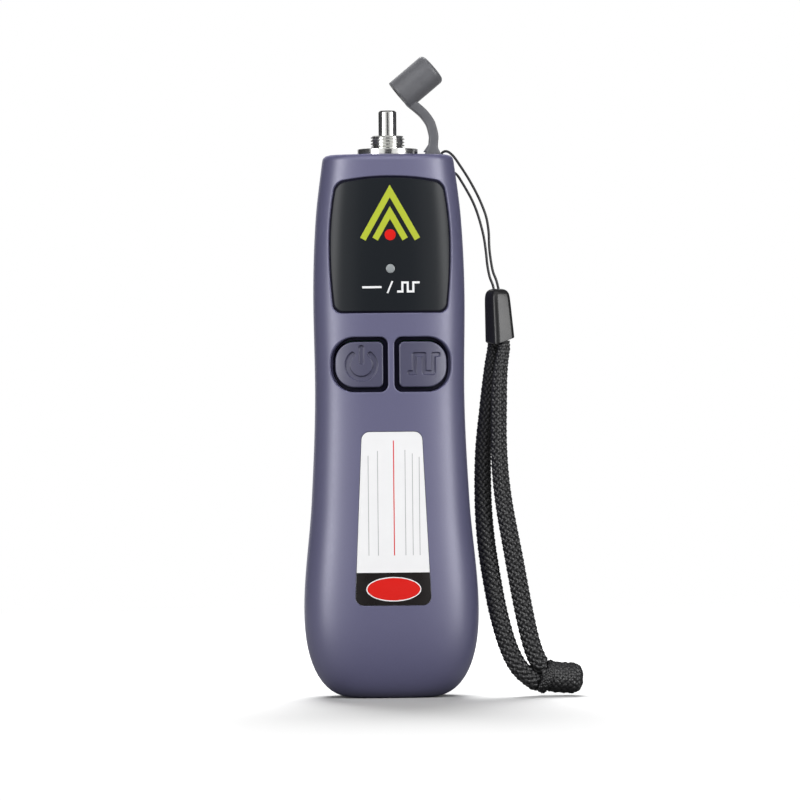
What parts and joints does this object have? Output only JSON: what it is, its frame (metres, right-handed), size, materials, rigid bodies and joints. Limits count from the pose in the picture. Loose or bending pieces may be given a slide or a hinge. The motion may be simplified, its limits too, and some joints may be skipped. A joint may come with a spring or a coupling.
{
  "type": "visual fault locator",
  "caption": "Hand-held visual fault locator: waisted two-part housing with a display window, two keys, a fibre port with a strapped dust cap, and a braided wrist strap.",
  "frame": {"origin": "middle of the flat base that the housing stands on", "axes": "+Z along the housing towards the port, -Y out of the front with the keys, +X to the side that the wrist strap hangs on"},
  "size_m": [0.0655, 0.0264, 0.15],
  "materials": {
    "housing": "satin violet-grey lacquer with a fine metallic flake, on ABS",
    "housing_keys": "satin violet-grey lacquer on ABS",
    "window": "satin black film, printed from behind",
    "diffuser": "frosted grey",
    "led": "clear epoxy over a white package",
    "black_rubber": "matte silicone",
    "sticker": "laminated polyester label",
    "board": "green solder mask on glass-epoxy",
    "components": "moulded epoxy",
    "steel": "zinc-plated",
    "amber": "moulded",
    "black_plastic": "fine texture",
    "cell": null,
    "nickel": "nickel-plated brass",
    "wire": "PVC insulation",
    "brass": "machined",
    "lens": "coated",
    "zirconia": "polished zirconia",
    "grey_rubber": "matte silicone",
    "cord": "braided polyester",
    "clasp": "moulded"
  },
  "bodies": {
    "housing": {"front_shell": "housing", "rear_shell": "housing", "display_window": "window", "light_pipe": "diffuser", "status_led": "led", "key_mat": "black_rubber", "sticker": "sticker", "circuit_board": "board", "board_parts": "components", "board_screws": "steel", "power_switch": "components", "mode_switch": "components", "case_screws": "steel", "battery_tray": "black_plastic", "cell_left": "cell", "cell_right": "cell", "lower_contact": "nickel", "plus_contact": "nickel", "minus_contact": "nickel", "lower_spring": "nickel", "upper_spring": "nickel", "battery_wires": "wire", "laser_barrel": "brass", "laser_diode": "brass", "focus_lens": "lens", "lens_ring": "brass", "laser_wires": "wire", "port_body": "nickel", "port_washer": "brass", "port_nut": "brass", "ferrule_tube": "nickel", "ceramic_sleeve": "zirconia", "cap_foot": "grey_rubber", "cap_root_bend": "grey_rubber", "lanyard_string": "cord", "cord_clasp": "clasp", "strand_front": "cord", "strand_back": "cord", "strap_knot": "cord"},
    "battery_door": {"battery_door": "housing"},
    "power_key": {"power_key": "housing_keys", "power_plunger": "amber"},
    "mode_key": {"mode_key": "housing_keys", "mode_plunger": "amber"},
    "cap_strap": {"cap_strap": "grey_rubber", "cap_neck_bend": "grey_rubber"},
    "dust_cap": {"dust_cap": "grey_rubber"}
  },
  "joints": [
    {"name": "power_press", "type": "slide", "parent": "housing", "child": "power_key", "axis": [0, 1, 0], "range_m": [0, 0.0003], "stiffness_N_per_m": 600, "springref_m": -0.0005},
    {"name": "mode_press", "type": "slide", "parent": "housing", "child": "mode_key", "axis": [0, 1, 0], "range_m": [0, 0.0003], "stiffness_N_per_m": 600, "springref_m": -0.0005},
    {"name": "door_tilt", "type": "hinge", "parent": "housing", "child": "battery_door", "pos_m": [0, 0.01236, 0.009], "axis": [-1, 0, 0], "range_deg": [0, 75]},
    {"name": "strap_bend", "type": "hinge", "parent": "housing", "child": "cap_strap", "pos_m": [0.0107, 0, 0.1302], "axis": [0, -1, 0], "range_deg": [-70, 0], "stiffness_Nm_per_rad": 0.002, "deforming": ["cap_root_bend"]},
    {"name": "cap_tilt", "type": "hinge", "parent": "cap_strap", "child": "dust_cap", "pos_m": [0.00483, 0, 0.1366], "axis": [0, -1, 0], "range_deg": [-20, 50], "stiffness_Nm_per_rad": 0.002, "deforming": ["cap_neck_bend"]}
  ]
}
